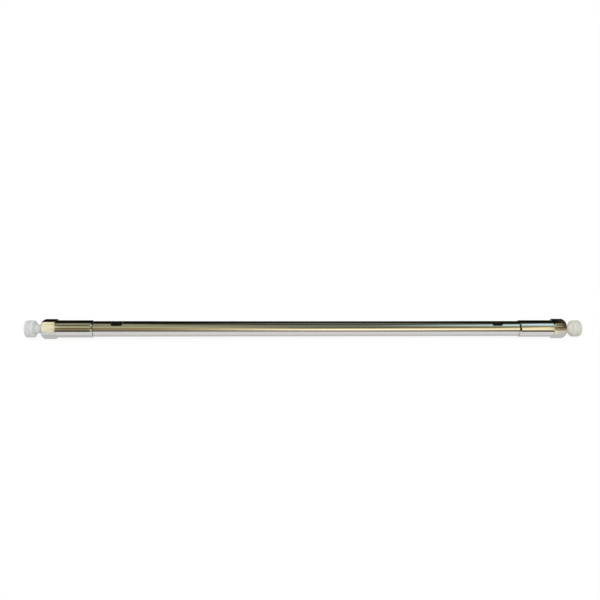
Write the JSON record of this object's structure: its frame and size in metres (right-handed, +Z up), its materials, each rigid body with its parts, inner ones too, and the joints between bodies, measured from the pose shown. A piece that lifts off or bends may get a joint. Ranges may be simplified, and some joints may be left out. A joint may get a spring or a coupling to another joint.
{
  "type": "hplc column",
  "caption": "Slender steel chromatography column with flatted tube, coned hexagon end fittings and round plastic shipping plugs in both ports.",
  "frame": {"origin": "middle of the tube's axis, halfway between the two ends", "axes": "+X along the column from inlet to outlet, +Z up as it lies on the outlet fitting's bottom hexagon flat, +Y level and across"},
  "size_m": [0.2878, 0.0104, 0.01],
  "materials": {
    "turned_steel": "fine turned, bright",
    "polished_steel": "polished",
    "sintered_steel": "matt, porous",
    "ring_plastic": "satin",
    "packing": "powdery",
    "plug_plastic": "milky, translucent"
  },
  "bodies": {
    "column": {"column_tube": "turned_steel", "packed_bed": "packing"},
    "inlet_end": {"inlet_end_fitting": "polished_steel", "inlet_frit_ring": "ring_plastic", "inlet_frit": "sintered_steel"},
    "outlet_end": {"outlet_end_fitting": "polished_steel", "outlet_frit_ring": "ring_plastic", "outlet_frit": "sintered_steel"},
    "inlet_stopper": {"inlet_plug": "plug_plastic"},
    "outlet_stopper": {"outlet_plug": "plug_plastic"}
  },
  "joints": [
    {"name": "inlet_fitting_slide", "type": "slide", "parent": "column", "child": "inlet_end", "axis": [-1, 0, 0], "range_m": [0, 0.018]},
    {"name": "outlet_fitting_slide", "type": "slide", "parent": "column", "child": "outlet_end", "axis": [1, 0, 0], "range_m": [0, 0.018]},
    {"name": "inlet_plug_slide", "type": "slide", "parent": "inlet_end", "child": "inlet_stopper", "axis": [-1, 0, 0], "range_m": [0, 0.01]},
    {"name": "outlet_plug_slide", "type": "slide", "parent": "outlet_end", "child": "outlet_stopper", "axis": [1, 0, 0], "range_m": [0, 0.01]}
  ]
}
